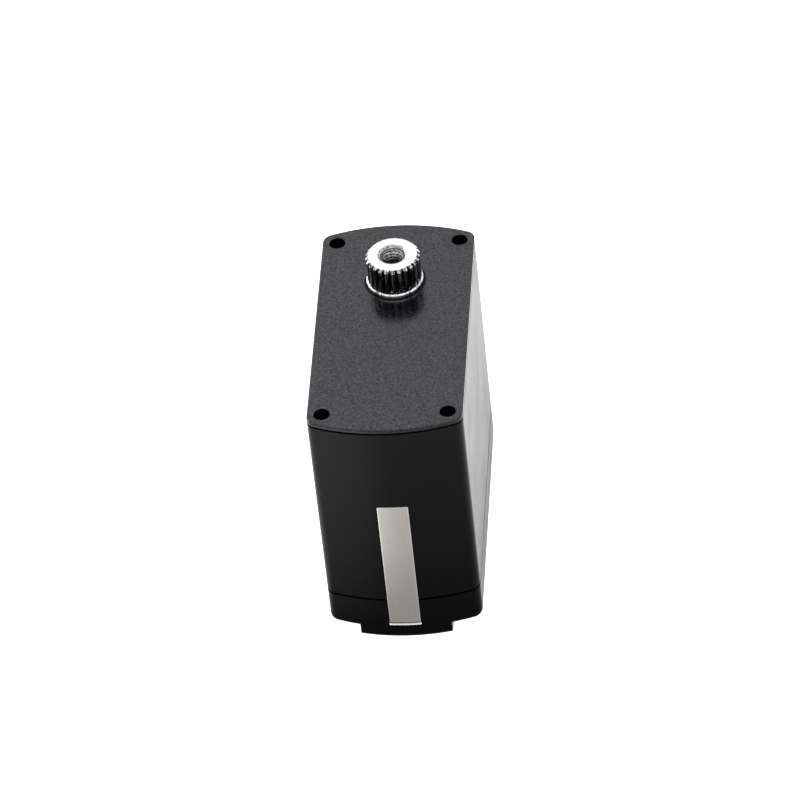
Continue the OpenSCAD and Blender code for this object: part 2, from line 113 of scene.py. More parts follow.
# Strip and its pocket.
STRIP_HALF = 2.15
STRIP_LOW_Z = low("end_strip").z - PLAY
STRIP_TOP_Z = high("end_strip").z + PLAY
LIP_H, CREASE_H = 0.42, 0.1

# Screws and their holes.
HEAD_TOP_Z = HEAD_Z + 1.18
HEAD_R, HEAD_ROOM_R = 1.5, 1.6
SCREW_R = 0.8
TAP_R, TAP_TOP_Z = 0.86, SCREW_TIP_Z + 0.1
CHANNEL_R = 0.89

# Output shaft and what it turns in.
TEETH = 25
SPLINE_R = 3.55
ROOT_R = SPLINE_R - 0.42
COLLAR_TOP_Z = TOP_Z + 0.7
SEAL_SHAFT_R = 3.5
SEAL_OPENING_R = 3.95
BEARING_R, BEARING_HOUSING_R = 5.0, 6.0
LOWER_BEARING_R = 4.0
THREAD_PITCH = 0.5
THREAD_DEPTH = 0.24

# Stop wall: outer and inner radius, height, and its first angle and sweep in degrees.
STOP_OUTER_R, STOP_INNER_R, STOP_H = 5.0, 3.8, 5.2
STOP_START, STOP_SWEEP = 25, 130

# Openings in the deck: motor screws, motor front, board posts and output shaft.
MOTOR_SCREW_X, MOTOR_SCREW_R = 5, 0.9
MOTOR_HEAD_R, MOTOR_HEAD_DEPTH = 1.6, 1.1
MOTOR_FRONT_R = 2.6
BOARD_POST_X, BOARD_POST_Y, BOARD_POST_R = 6, 12.4, 0.8
SHAFT_WAY_R = 3.4

# Motor, gear pins and corners.
MOTOR_Y = SHAFT_Y - 18.95
CENTRE_AXIS = plan_middle("gear_pin_centre")
SIDE_AXIS = plan_middle("gear_pin_motor")
CORNERS = [(sx * HOLE_X, sy * HOLE_Y) for sx in (-1, 1) for sy in (-1, 1)]


# ---- Mesh helpers ----

def new_object(name, bm):
    """Mesh object from a bmesh in millimetres."""
    bmesh.ops.recalc_face_normals(bm, faces=bm.faces)
    mesh = bpy.data.meshes.new(name)
    bm.to_mesh(mesh)
    bm.free()
    mesh.transform(Matrix.Scale(MM, 4))
    obj = bpy.data.objects.new(name, mesh)
    bpy.context.scene.collection.objects.link(obj)
    return obj


def loft(name, rings):
    """Solid through rings of points with the same count, capped at both ends."""
    bm = bmesh.new()
    loops = [[bm.verts.new(p) for p in ring] for ring in rings]
    count = len(loops[0])
    for a, b in zip(loops, loops[1:]):
        for i in range(count):
            j = (i + 1) % count
            bm.faces.new((a[i], a[j], b[j], b[i]))
    bm.faces.new(loops[0][::-1])
    bm.faces.new(loops[-1])
    return new_object(name, bm)


def outline(inset, corner_steps=14, end_steps=56):
    """Closed plan outline of the case: two curved ends, straight sides and round corners."""
    r = END_R - inset
    c = max(EDGE_R - inset, 0.4)
    back = END_R - HALF_L
    cx = HALF_W - inset - c
    cy = math.sqrt((r - c) ** 2 - cx ** 2) - back
    a = math.atan2(cy + back, cx)

    def arc(x, y, radius, start, end, steps):
        turns = [start + (end - start) * i / steps for i in range(steps + 1)]
        return [(x + radius * math.cos(t), y + radius * math.sin(t)) for t in turns]

    quarter = arc(cx, cy, c, 0, a, corner_steps)
    half_end = arc(0, -back, r, a, math.pi - a, end_steps)[1:-1]
    rear = quarter + half_end + [(-x, y) for x, y in quarter[::-1]]
    return rear + [(-x, -y) for x, y in rear]


def case_loft(name, profile):
    """Solid with the case's outline, from (inset, z) pairs."""
    return loft(name, [[(x, y, z) for x, y in outline(inset)] for inset, z in profile])


def edge(inset, z, size, way, steps=5):
    """Quarter-round (inset, z) points of a small edge: way is +1 for an upper edge and -1 for a lower one."""
    turns = [math.pi / 2 * i / steps for i in range(steps + 1)]
    pairs = [(inset + size * (1 - math.cos(t)), z - way * size * (1 - math.sin(t))) for t in turns]
    return pairs if way > 0 else pairs[::-1]


def end_y(x, inset):
    """Distance from the middle of the case to its curved end, at x."""
    return math.sqrt((END_R - inset) ** 2 - x * x) - (END_R - HALF_L)


def revolve(name, profile, x=0.0, y=0.0, steps=96):
    """Solid of revolution about an upright axis, from (radius, z) pairs running up the outside."""
    turns = [2 * math.pi * i / steps for i in range(steps)]
    return loft(name, [[(x + r * math.cos(t), y + r * math.sin(t), z) for t in turns] for r, z in profile])


def rod(name, r, z0, z1, x=0.0, y=0.0, steps=64):
    return revolve(name, [(r, z0), (r, z1)], x, y, steps)


def block(name, size, centre, round_r=0.0, round_steps=3):
    """Box of that size about a point, with its edges rounded."""
    bm = bmesh.new()
    bmesh.ops.create_cube(bm, size=1.0, matrix=Matrix.Translation(centre) @ Matrix.Diagonal((*size, 1)))
    if round_r:
        bmesh.ops.bevel(bm, geom=bm.edges[:], offset=round_r, segments=round_steps, profile=0.5, affect="EDGES")
    return new_object(name, bm)


def boolean(obj, tools, operation="DIFFERENCE"):
    """Applies each tool to obj in turn, and removes it."""
    for tool in tools:
        mod = obj.modifiers.new("boolean", "BOOLEAN")
        mod.operation = operation
        mod.solver = "EXACT"
        mod.object = tool
        made = bpy.data.meshes.new_from_object(obj.evaluated_get(bpy.context.evaluated_depsgraph_get()))
        obj.modifiers.clear()
        obj.data = made
        bpy.data.objects.remove(tool)
    return obj


def smooth(obj, angle=32.0, weighted=True):
    """Smooth shading with sharp edges over an angle, and normals that keep flat faces flat."""
    bm = bmesh.new()
    bm.from_mesh(obj.data)
    limit = math.radians(angle)
    for face in bm.faces:
        face.smooth = True
    for e in bm.edges:
        e.smooth = len(e.link_faces) == 2 and e.calc_face_angle(0) < limit
    bm.to_mesh(obj.data)
    bm.free()
    if weighted:
        mod = obj.modifiers.new("normals", "WEIGHTED_NORMAL")
        mod.mode = "FACE_AREA_WITH_ANGLE"
        mod.weight = 50
        mod.keep_sharp = True
    return obj


def join(name, parts):
    """One object from several."""
    bm = bmesh.new()
    for part in parts:
        bm.from_mesh(part.data)
        bpy.data.objects.remove(part)
    mesh = bpy.data.meshes.new(name)
    bm.to_mesh(mesh)
    bm.free()
    obj = bpy.data.objects.new(name, mesh)
    bpy.context.scene.collection.objects.link(obj)
    return obj


def piece(obj, body, slot, material, *replaced):
    """Gives a made object its material, and puts it on a CAD body in place of CAD nodes."""
    obj.data.materials.clear()
    obj.data.materials.append(material)
    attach(obj, body)
    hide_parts(*replaced)


# ---- Materials ----

def finish(name, colour, metallic=0.0, roughness=0.5, level=0.5, tone=0.1, patch=0.08,
           grain=0.25, depth=0.004, rough_spread=0.08, brushed=None, coat=0.0, glint=0.0, rise=None,
           sheen=(1.0, 1.0, 1.0), shade=None):
    """Procedural finish. grain is the size of its fine texture and depth its height, both in mm.

    level is the mirror strength, sheen its colour, and coat the weight of a clear coat.
    tone and patch are the shares by which the colour changes with the fine texture and over the piece,
    and rough_spread is how far the roughness moves with the fine texture.
    brushed is the axis along which the texture is drawn out, for brushed or turned metal.
    rise makes the mirror strength change with height: two heights in mm and the factor at each of them.
    With it, glint is the share by which that strength changes with the fine texture.
    shade is a function that builds a factor for the colour, for painted light and shade: lighter and darker zones
    of a part.
    """
    material = bpy.data.materials.new(name)
    material.use_nodes = True
    tree = material.node_tree
    shader = tree.nodes["Principled BSDF"]
    shader.inputs["Metallic"].default_value = metallic
    shader.inputs["Specular IOR Level"].default_value = level
    shader.inputs["Specular Tint"].default_value = (*sheen, 1.0)
    shader.inputs["Coat Weight"].default_value = coat
    shader.inputs["Coat Roughness"].default_value = 0.12

    def node(kind, **values):
        made = tree.nodes.new(kind)
        for key, value in values.items():
            if key in made.inputs:
                made.inputs[key].default_value = value
            else:
                setattr(made, key, value)
        return made

    place = node("ShaderNodeTexCoord").outputs["Object"]
    stretch = node("ShaderNodeMapping")
    scale = [1.0, 1.0, 1.0]
    if brushed is not None:
        scale["XYZ".index(brushed)] = 0.03
    stretch.inputs["Scale"].default_value = scale
    tree.links.new(place, stretch.inputs["Vector"])
    fine = node("ShaderNodeTexNoise", Scale=1 / (grain * MM), Detail=3.0, Roughness=0.6)
    broad = node("ShaderNodeTexNoise", Scale=1 / (9 * MM), Detail=2.0, Roughness=0.5)
    tree.links.new(stretch.outputs["Vector"], fine.inputs["Vector"])
    tree.links.new(place, broad.inputs["Vector"])

    def spread(source, centre, amount):
        ranged = node("ShaderNodeMapRange")
        ranged.inputs["From Min"].default_value = 0.3
        ranged.inputs["From Max"].default_value = 0.7
        ranged.inputs["To Min"].default_value = centre - amount
        ranged.inputs["To Max"].default_value = centre + amount
        tree.links.new(source, ranged.inputs["Value"])
        return ranged.outputs["Result"]

    both = node("ShaderNodeMath", operation="MULTIPLY")
    tree.links.new(spread(fine.outputs["Fac"], 1.0, tone), both.inputs[0])
    tree.links.new(spread(broad.outputs["Fac"], 1.0, patch), both.inputs[1])
    tint = node("ShaderNodeMixRGB", blend_type="MULTIPLY", Fac=1.0, Color1=(*colour, 1.0))
    tree.links.new(both.outputs["Value"], tint.inputs["Color2"])
    base = tint.outputs["Color"]
    # Painted light and shade: the shade factor multiplies the colour.
    if shade:
        dark = node("ShaderNodeMixRGB", blend_type="MULTIPLY", Fac=1.0)
        tree.links.new(base, dark.inputs["Color1"])
        tree.links.new(shade(node, tree, place), dark.inputs["Color2"])
        base = dark.outputs["Color"]
    tree.links.new(base, shader.inputs["Base Color"])
    if rise:
        mirror = node("ShaderNodeMath", operation="MULTIPLY")
        tree.links.new(spread(fine.outputs["Fac"], level, level * glint), mirror.inputs[0])
        height = node("ShaderNodeSeparateXYZ")
        tree.links.new(place, height.inputs["Vector"])
        ramp = node("ShaderNodeMapRange")
        for key, value in zip(("From Min", "From Max", "To Min", "To Max"), rise):
            ramp.inputs[key].default_value = value * MM if key[0] == "F" else value
        tree.links.new(height.outputs["Z"], ramp.inputs["Value"])
        tree.links.new(ramp.outputs["Result"], mirror.inputs[1])
        tree.links.new(mirror.outputs["Value"], shader.inputs["Specular IOR Level"])

    mixed = node("ShaderNodeMath", operation="ADD")
    tree.links.new(spread(fine.outputs["Fac"], roughness, rough_spread), mixed.inputs[0])
    tree.links.new(spread(broad.outputs["Fac"], 0.0, rough_spread * 0.5), mixed.inputs[1])
    mixed.use_clamp = True
    tree.links.new(mixed.outputs["Value"], shader.inputs["Roughness"])

    bump = node("ShaderNodeBump", Strength=1.0, Distance=depth * MM)
    tree.links.new(fine.outputs["Fac"], bump.inputs["Height"])
    tree.links.new(bump.outputs["Normal"], shader.inputs["Normal"])
    return material


def shade_tools(node, tree):
    """Helpers for the shade functions.

    step_of and step are soft steps of a value, over a plain range and over a length in mm.
    combine joins two sockets by a Math node.
    """
    def step_of(source, start, end, from_value, to_value):
        ranged = node("ShaderNodeMapRange", interpolation_type="SMOOTHSTEP")
        for key, value in (("From Min", start), ("From Max", end), ("To Min", from_value), ("To Max", to_value)):
            ranged.inputs[key].default_value = value
        tree.links.new(source, ranged.inputs["Value"])
        return ranged.outputs["Result"]

    def step(source, start, end, from_value, to_value):
        return step_of(source, start * MM, end * MM, from_value, to_value)

    def combine(operation, a, b):
        made = node("ShaderNodeMath", operation=operation)
        tree.links.new(a, made.inputs[0])
        tree.links.new(b, made.inputs[1])
        return made.outputs["Value"]

    return step_of, step, combine


def strip_shade(node, tree, place):
    """Factor for the strip, all painted light and shade: painted highlights on the lip and along the edges,
    painted shade in the crease over the lip, and a painted reflection that is lighter at the top and darker
    towards the foot.
    """
    _, step, combine = shade_tools(node, tree)
    parts = node("ShaderNodeSeparateXYZ")
    tree.links.new(place, parts.inputs["Vector"])
    across = node("ShaderNodeMath", operation="ABSOLUTE")
    tree.links.new(parts.outputs["X"], across.inputs[0])
    z = parts.outputs["Z"]
    lip_z = STRIP_LOW_Z + PLAY + LIP_H
    # Painted reflection: lighter at the top, darker towards the foot.
    tone = step(z, STRIP_LOW_Z + 2, STRIP_TOP_Z, 0.77, 1.13)
    # Painted highlights along the side edges and the top edge.
    rim_highlight = combine("MAXIMUM", step(across.outputs["Value"], STRIP_HALF - 0.3, STRIP_HALF - 0.16, 1.0, 1.5),
                  step(z, STRIP_TOP_Z - 0.3, STRIP_TOP_Z - 0.16, 1.0, 1.4))
    # Painted shade in the crease over the lip.
    crease = combine("MAXIMUM", step(z, lip_z - 0.02, lip_z, 1.0, 0.45),
                     step(z, lip_z + 0.1, lip_z + 0.22, 0.45, 1.0))
    # Painted highlight on the lip.
    lip = step(z, lip_z - 0.04, lip_z, 3.6, 1.0)
    return combine("MULTIPLY", combine("MULTIPLY", tone, rim_highlight), combine("MULTIPLY", crease, lip))


def spline_shade(node, tree, place):
    """Factor of painted light and shade on the shaft, by height and distance to the axis: painted shade on the
    teeth's flanks and roots and further down the hole, painted glints near the tips and in the hole, and painted
    breaks in the collar's shine.
    """
    step_of, step, combine = shade_tools(node, tree)
    flat = node("ShaderNodeMapping")
    flat.inputs["Location"].default_value = (0, -SHAFT_Y * MM, 0)
    flat.inputs["Scale"].default_value = (1, 1, 0)
    radius = node("ShaderNodeVectorMath", operation="LENGTH")
    tree.links.new(place, flat.inputs["Vector"])
    tree.links.new(flat.outputs["Vector"], radius.inputs[0])
    parts = node("ShaderNodeSeparateXYZ")
    tree.links.new(place, parts.inputs["Vector"])
    r, z = radius.outputs["Value"], parts.outputs["Z"]
    # Two textures: round specks, and lines drawn out along the teeth.
    noise = node("ShaderNodeTexNoise", Scale=1 / (0.22 * MM), Detail=2.0)
    tree.links.new(place, noise.inputs["Vector"])
    drawn = node("ShaderNodeMapping")
    drawn.inputs["Scale"].default_value = (1, 1, 0.12)
    lines = node("ShaderNodeTexNoise", Scale=1 / (0.38 * MM), Detail=2.0)
    tree.links.new(place, drawn.inputs["Vector"])
    tree.links.new(drawn.outputs["Vector"], lines.inputs["Vector"])
    # Teeth: painted glints near the tip, light streaks along the flanks, and painted shade that keeps flanks and
    # roots dark.
    tip_glints = step_of(noise.outputs["Fac"], 0.48, 0.62, 0.0, 0.8)
    chamfer = combine("MULTIPLY", tip_glints, step(z, TIP_Z - 0.9, TIP_Z - 0.35, 0.0, 1.0))
    flank_streaks = step_of(lines.outputs["Fac"], 0.47, 0.62, 0.0, 0.5)
    flank_shade_and_streaks = combine("MAXIMUM", combine("MULTIPLY", flank_streaks, step(r, ROOT_R + 0.05, ROOT_R + 0.2, 0.3, 1.0)),
                   step(r, ROOT_R + 0.1, SPLINE_R, 0.012, 0.05))
    flank = combine("MAXIMUM", chamfer, flank_shade_and_streaks)
    # Bright end face, and a collar with painted breaks in its shine.
    face = combine("MAXIMUM", step(z, TIP_Z - 0.05, TIP_Z - 0.01, 0.0, 1.0),
                   step(r, ROOT_R - 0.2, ROOT_R - 0.1, 1.0, 0.0))
    collar_shine_breaks = step_of(lines.outputs["Fac"], 0.4, 0.5, 0.25, 1.0)
    collar = combine("MULTIPLY", step(z, COLLAR_TOP_Z, COLLAR_TOP_Z + 0.12, 1.0, 0.0), collar_shine_breaks)
    teeth = combine("MAXIMUM", flank, combine("MAXIMUM", face, collar))
    # Hole: bright at its mouth, with a painted blotchy reflection on its wall and painted shade that darkens it
    # with depth.
    outside = step(r, HORN_HOLE_R + 0.4, HORN_HOLE_R + 0.46, 0.0, 1.0)
    bore_reflection = step_of(noise.outputs["Fac"], 0.42, 0.6, 0.3, 1.0)
    bore_depth_shade = combine("MULTIPLY", bore_reflection, step(z, TIP_Z - 2.4, TIP_Z - 0.5, 0.02, 0.6))
    bore = combine("MAXIMUM", outside, bore_depth_shade)
    return combine("MULTIPLY", teeth, bore)


cover_grey = finish("cover_grey", (0.0015, 0.0015, 0.0022), roughness=0.2, level=0.62, tone=0.3, patch=0.05,
                    grain=0.2, depth=0.003, rough_spread=0.06, glint=0.6,
                    rise=(TOP_Z - 0.13, TOP_Z - 0.02, 0.22, 1.0), sheen=(0.93, 0.91, 1.0))
case_black = finish("case_black", (0.0008, 0.0008, 0.0009), roughness=0.27, level=0.04, tone=0.2, patch=0.1,
                    grain=0.1, depth=0.0012, rough_spread=0.04, glint=0.1, rise=(2.0, TOP_Z, 0.24, 1.35))
strip_metal = finish("strip_metal", (0.17, 0.163, 0.153), metallic=1.0, roughness=0.24, tone=0.04, patch=0.03,
                     grain=0.12, depth=0.002, rough_spread=0.06, brushed="Z", shade=strip_shade)
rubber = finish("gasket_rubber", (0.012, 0.012, 0.012), roughness=0.8, level=0.3, grain=0.15, depth=0.006)
spline_steel = finish("spline_steel", (0.83, 0.84, 0.86), metallic=1.0, roughness=0.16, tone=0.03, patch=0.03,
                      grain=0.2, depth=0.001, rough_spread=0.05, shade=spline_shade)
screw_black = finish("screw_black", (0.06, 0.06, 0.065), metallic=0.8, roughness=0.4, grain=0.15, depth=0.003)
ivory = finish("socket_ivory", (0.33, 0.31, 0.25), roughness=0.38, tone=0.03, patch=0.04, grain=0.3, depth=0.003)
gold = finish("contact_gold", (0.86, 0.62, 0.24), metallic=1.0, roughness=0.25, tone=0.04, grain=0.12,
              depth=0.001, brushed="Y")
bearing_steel = finish("bearing_steel", (0.72, 0.73, 0.75), metallic=1.0, roughness=0.2, grain=0.1, depth=0.001)
pin_steel = finish("pin_steel", (0.66, 0.67, 0.69), metallic=1.0, roughness=0.24, grain=0.1, depth=0.001,
                   brushed="Z")
gear_brass = finish("gear_brass", (0.75, 0.58, 0.27), metallic=1.0, roughness=0.32, grain=0.14, depth=0.002)
gear_steel = finish("gear_steel", (0.55, 0.56, 0.58), metallic=1.0, roughness=0.34, grain=0.14, depth=0.002)
can_steel = finish("can_steel", (0.58, 0.58, 0.58), metallic=1.0, roughness=0.3, grain=0.2, depth=0.002,
                   brushed="Z")
magnet_dark = finish("magnet_dark", (0.05, 0.05, 0.055), metallic=0.6, roughness=0.5, grain=0.12, depth=0.006)
plastic_black = finish("plastic_black", (0.012, 0.012, 0.012), roughness=0.5, grain=0.25, depth=0.005)
bronze = finish("bushing_bronze", (0.55, 0.36, 0.16), metallic=1.0, roughness=0.5, tone=0.15, grain=0.1,
                depth=0.006)
carbon = finish("carbon", (0.02, 0.018, 0.016), roughness=0.75, tone=0.2, grain=0.08, depth=0.006)
copper = finish("copper", (0.72, 0.3, 0.13), metallic=1.0, roughness=0.3, tone=0.12, grain=0.2, depth=0.02,
                brushed="Z")
board_green = finish("board_green", (0.012, 0.09, 0.035), roughness=0.35, tone=0.12, grain=0.3, depth=0.006)
chip_black = finish("chip_black", (0.014, 0.014, 0.015), roughness=0.6, tone=0.15, grain=0.1, depth=0.004)
cap_blue = finish("cap_blue", (0.016, 0.03, 0.11), roughness=0.3, grain=0.3, depth=0.002, coat=0.3)

BY_SLOT = {
    "cover_grey": cover_grey, "case_black": case_black, "strip_metal": strip_metal, "gasket_rubber": rubber,
    "screw_black": screw_black, "spline_steel": spline_steel, "bearing_steel": bearing_steel,
    "pin_steel": pin_steel, "gear_brass": gear_brass, "gear_steel": gear_steel, "can_steel": can_steel,
    "magnet_dark": magnet_dark, "plastic_black": plastic_black, "bushing_bronze": bronze, "carbon": carbon,
    "contact_gold": gold, "copper": copper, "board_green": board_green, "chip_black": chip_black,
    "cap_blue": cap_blue, "socket_ivory": ivory,
}


def cad_finishes():
    """Every CAD node gets the finish of its material slot."""
    for part in record["subparts"]:
        mesh_object = nodes[part["node"]]
        mesh_object.data.materials.clear()
        mesh_object.data.materials.append(BY_SLOT[part["material_slot"]])


# ---- Case ----

def end_slab(name, half, z0, z1, corner, face, under, columns, rows):
    """Plate that follows the curved -Y end, with round corners in its face.

    face(x, z) and under are the insets of its outer and inner surface from the case's own surface.
    columns and rows are the counts of points across it and of steps up it.
    """
    steps = 8
    near = [corner * (1 - math.cos(math.pi / 2 * i / steps)) for i in range(steps + 1)]
    inner = [z0 + corner + (z1 - z0 - 2 * corner) * i / rows for i in range(1, rows)]
    heights = [z0 + d for d in near] + inner + [z1 - d for d in near[::-1]]

    def half_at(z):
        short = corner - min(z - z0, z1 - z, corner)
        return half - corner + math.sqrt(max(corner ** 2 - short ** 2, 0.0))

    bm = bmesh.new()
    outer, back = [], []
    for z in heights:
        width = max(half_at(z), half - corner)
        xs = [width * math.sin(math.pi / 2 * (2 * i / (columns - 1) - 1)) for i in range(columns)]
        outer.append([bm.verts.new((x, -end_y(x, face(x, z)), z)) for x in xs])
        back.append([bm.verts.new((x, -end_y(x, under), z)) for x in xs])
    for grid in (outer, back):
        for a, b in zip(grid, grid[1:]):
            for i in range(columns - 1):
                bm.faces.new((a[i], a[i + 1], b[i + 1], b[i]))
    for a, b, c, d in zip(outer, outer[1:], back, back[1:]):
        bm.faces.new((a[0], b[0], d[0], c[0]))
        bm.faces.new((a[-1], b[-1], d[-1], c[-1]))
    for a, b in ((outer[0], back[0]), (outer[-1], back[-1])):
        for i in range(columns - 1):
            bm.faces.new((a[i], a[i + 1], b[i + 1], b[i]))
    return new_object(name, bm)


def strip_pocket():
    """Cutter for the shallow channel that the strip lies in."""
    return end_slab("pocket", STRIP_HALF, STRIP_LOW_Z, STRIP_TOP_Z, 0.35, lambda x, z: -1.0, 0.5,
                    columns=25, rows=24)


def make_top_cover():
    cover = case_loft("top_cover_shell",
                      edge(0, RIM_Z, PLAY, -1) + edge(0, TOP_Z, 0.12, 1, steps=8))
    plug = case_loft("plug", [(WALL + 0.1, COVER_UNDER_Z), (WALL + 0.1, RIM_Z + 0.01)])
    inner_top_z = RIM_Z + 0.02
    bosses = [rod("boss", COVER_BOSS_R, BOSS_LOW_Z, inner_top_z, x, y) for x, y in CORNERS]
    bosses.append(rod("boss", PIN_BOSS_R, PIN_BOSS_LOW_Z, inner_top_z, *SIDE_AXIS))
    seat = rod("seat", BEARING_HOUSING_R, SEAT_LOW_Z, inner_top_z, 0, SHAFT_Y)
    boolean(cover, [plug, seat, *bosses], "UNION")
    hole_mouth_r = HOLE_R + 0.08
    opening_mouth_r = SEAL_OPENING_R + 0.12
    holes = [
        revolve("hole", [(TAP_R, BOSS_LOW_Z - 1), (TAP_R, TAP_TOP_Z), (HOLE_R, TAP_TOP_Z + 0.04),
                         (HOLE_R, TOP_Z - 0.05), (hole_mouth_r, TOP_Z + 0.03), (hole_mouth_r, TOP_Z + 1)], x, y)
        for x, y in CORNERS
    ]
    holes += [rod("pin_hole", PIN_R, 29, PIN_TOP_Z, *axis) for axis in (CENTRE_AXIS, SIDE_AXIS)]
    opening = revolve("opening", [(BEARING_R, SEAT_LOW_Z - 1.6), (BEARING_R, SEAT_TOP_Z),
                                  (SEAL_OPENING_R, SEAT_TOP_Z), (SEAL_OPENING_R, TOP_Z - 0.08),
                                  (opening_mouth_r, TOP_Z + 0.04), (opening_mouth_r, TOP_Z + 1)], 0, SHAFT_Y)
    boolean(cover, [*holes, opening])
    piece(smooth(cover), "case", "cover_grey", cover_grey, "top_cover")


def stop_wall():
    """Arc round the output shaft, on the far side of it, that limits its travel."""
    steps = 40
    turns = [math.radians(STOP_START + STOP_SWEEP * i / steps) for i in range(steps + 1)]
    sides = ((STOP_OUTER_R, 1), (STOP_INNER_R, -1))
    plan = [(r * math.cos(t), SHAFT_Y + r * math.sin(t)) for r, way in sides for t in turns[::way]]
    return loft("stop_wall", [[(x, y, z) for x, y in plan] for z in (DECK_TOP_Z - 0.02, DECK_TOP_Z + STOP_H)])


def make_middle_case():
    shell = case_loft("middle_shell", edge(0, SEAM_Z, SOFT_EDGE, -1) + edge(0, SHELL_TOP_Z, SOFT_EDGE, 1))
    lower = case_loft("room", [(WALL, SEAM_Z - 1), (WALL, DECK_UNDER_Z)])
    upper = case_loft("room", [(WALL, DECK_TOP_Z), (WALL, SHELL_TOP_Z + 1)])
    boolean(shell, [lower, upper])
    columns = [rod("column", COLUMN_R, SEAM_Z + 0.02, BOSS_LOW_Z - PLAY, x, y) for x, y in CORNERS]
    post = rod("post", POST_R, DECK_TOP_Z - 0.02, POST_TOP_Z, *CENTRE_AXIS)
    boolean(shell, [*columns, stop_wall(), post], "UNION")
    cuts = [rod("channel", CHANNEL_R, SEAM_Z - 1, TOP_Z, x, y) for x, y in CORNERS]
    cuts += [rod("pin_hole", PIN_R, DECK_UNDER_Z + 0.6, 24, *CENTRE_AXIS)]
    head_seat_z = DECK_TOP_Z - MOTOR_HEAD_DEPTH
    cuts += [revolve("screw_hole", [(MOTOR_SCREW_R, DECK_UNDER_Z - 1), (MOTOR_SCREW_R, head_seat_z),
                                    (MOTOR_HEAD_R, head_seat_z), (MOTOR_HEAD_R, DECK_TOP_Z + 1)], x, MOTOR_Y)
             for x in (-MOTOR_SCREW_X, MOTOR_SCREW_X)]
    cuts += [rod("post_hole", BOARD_POST_R, DECK_UNDER_Z - 1, DECK_TOP_Z - 0.8, x, BOARD_POST_Y)
             for x in (-BOARD_POST_X, BOARD_POST_X)]
    cuts += [rod("boss_room", COVER_BOSS_R + PLAY, BOSS_LOW_Z - PLAY, TOP_Z, x, y) for x, y in CORNERS]
    cuts += [
        rod("bearing_seat", LOWER_BEARING_R, DECK_TOP_Z - 2, DECK_TOP_Z + 1, 0, SHAFT_Y),
        rod("shaft_way", SHAFT_WAY_R, DECK_UNDER_Z - 1, DECK_TOP_Z, 0, SHAFT_Y),
        rod("motor_way", MOTOR_FRONT_R, DECK_UNDER_Z - 1, DECK_TOP_Z + 1, 0, MOTOR_Y),
        strip_pocket(),
    ]
    boolean(shell, cuts)
    piece(smooth(shell), "case", "case_black", case_black, "middle_case")


def make_bottom_cover():
    """Bottom cover: its corners stand higher than a middle band, and the room inside stays clear of its screws."""
    def foot(depth, z):
        """Quarter-round (inset, z) points of a lower edge."""
        turns = [math.pi / 2 * i / 8 for i in range(9)]
        return [(depth * (1 - math.cos(t)), z + depth * (1 - math.sin(t))) for t in turns[::-1]]

    cover = case_loft("bottom_shell", foot(FOOT_R, CORNER_STEP) + edge(0, COVER_TOP_Z, SOFT_EDGE, 1))
    band = case_loft("band", foot(FOOT_R, 0.0) + [(0, 6.0)])
    limit = block("limit", (2 * BAND_HALF, 60, 12), Vector((0, 0, 6)))
    boolean(band, [limit], "INTERSECT")
    boolean(cover, [band], "UNION")
    rooms = case_loft("room", [(WALL, CORNER_STEP + WALL), (WALL, 9)])
    keep = [block("keep", (20, 29, 10), Vector((0, 0, 5))), block("keep", (12, 40, 10), Vector((0, 0, 5)))]
    boolean(keep[0], [keep[1]], "UNION")
    boolean(rooms, [keep[0]], "INTERSECT")
    mouth_r, seat_z = HEAD_ROOM_R + 0.15, HEAD_Z + 1.2
    cuts = [revolve("head_room", [(mouth_r, -1), (mouth_r, CORNER_STEP), (HEAD_ROOM_R, CORNER_STEP + 0.15),
                                  (HEAD_ROOM_R, seat_z), (CHANNEL_R, seat_z), (CHANNEL_R, 8.5)], x, y)
            for x, y in CORNERS]
    cuts += [rooms, block("well", (2 * BAND_HALF - 2.4, 32, 8), Vector((0, 0, WALL + 4)))]
    socket_low, socket_high = low("connector_socket"), high("connector_socket")
    middle = (socket_low + socket_high) / 2
    size = socket_high - socket_low
    cuts += [block("socket_way", (size.x + 0.1, 8, size.z + 0.1), Vector((0, 18, middle.z))), strip_pocket()]
    boolean(cover, cuts)
    piece(smooth(cover), "case", "case_black", case_black, "bottom_cover")


def make_end_strip():
    z0, z1, half = STRIP_LOW_Z + PLAY, STRIP_TOP_Z - PLAY, STRIP_HALF - PLAY

    def face(x, z):
        """Flat sheet with a softly rounded edge, a crease near its foot and a rounded lip under it."""
        to_edge = min(half - abs(x), z1 - z)
        rounded = 0.13 * math.exp(-max(to_edge, 0.0) / 0.05)
        inset = 0.07 + rounded
        foot = z - z0
        if foot < LIP_H:
            inset = 0.05 + 0.22 * (1 - math.sin(math.pi * min(max(foot / LIP_H, 0.0), 1.0)) ** 0.5)
        elif foot < LIP_H + CREASE_H:
            inset = 0.27
        elif foot < LIP_H + CREASE_H + 0.1:
            inset = 0.07 + rounded + 0.2 * (1 - (foot - LIP_H - CREASE_H) / 0.1)
        return inset

    strip = end_slab("end_strip_plate", half, z0, z1, 0.42, face, 0.45, columns=41, rows=260)
    piece(smooth(strip, 50, False), "case", "strip_metal", strip_metal, "end_strip")


# ---- Output shaft ----

def tooth_radius(turn):
    """Radius of the spline at an angle: flat tips, sloping flanks and narrow roots, with soft corners."""
    place = abs((turn * TEETH / (2 * math.pi) + 0.5) % 1.0 - 0.5) * 2
    rise = min(max((0.9 - place) / 0.42, 0.0), 1.0)
    return ROOT_R + (SPLINE_R - ROOT_R) * (rise * rise * (3 - 2 * rise) * 0.35 + rise * 0.65)


